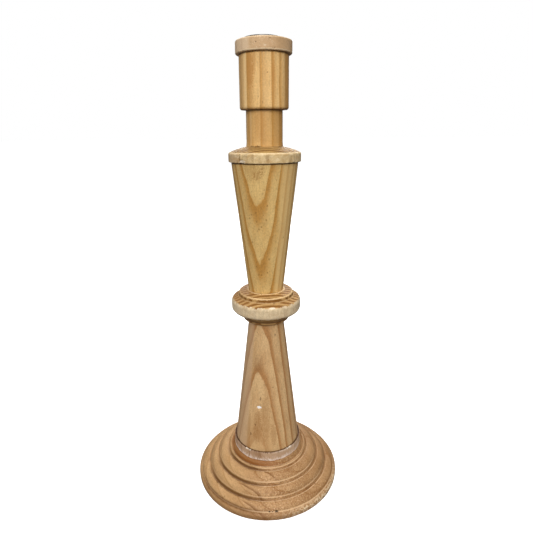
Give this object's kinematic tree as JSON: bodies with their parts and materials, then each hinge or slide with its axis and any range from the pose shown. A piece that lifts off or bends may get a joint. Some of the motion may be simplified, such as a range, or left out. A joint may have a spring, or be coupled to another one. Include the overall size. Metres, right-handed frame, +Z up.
{
  "type": "candlestick",
  "caption": "Tall turned wooden candlestick with a stepped round base, tapered columns, a knop and a metal cup for one taper candle.",
  "frame": {"origin": "centre of the base's underside, on the table", "axes": "+Z up along the candlestick's axis of turning, +X to the right of the front"},
  "size_m": [0.1396, 0.1396, 0.4],
  "materials": {
    "column_wood": "bare turned softwood, long grain",
    "disc_wood": "bare turned softwood, cross grain with bleached edges",
    "base_wood": "bare turned softwood, flat-sawn disc",
    "pale_wood": "bare turned wood, pale cross grain",
    "cup_metal": "bright plated sheet metal, slightly dulled",
    "screw_steel": "zinc-plated steel"
  },
  "bodies": {
    "root": {"base": "base_wood", "foot_collar": "pale_wood", "lower_column": "column_wood", "knop": "disc_wood", "upper_column": "column_wood", "shoulder_collar": "disc_wood", "candle_socket": "column_wood", "cap_ring": "pale_wood", "candle_cup": "cup_metal", "base_screw": "screw_steel"}
  },
  "joints": []
}
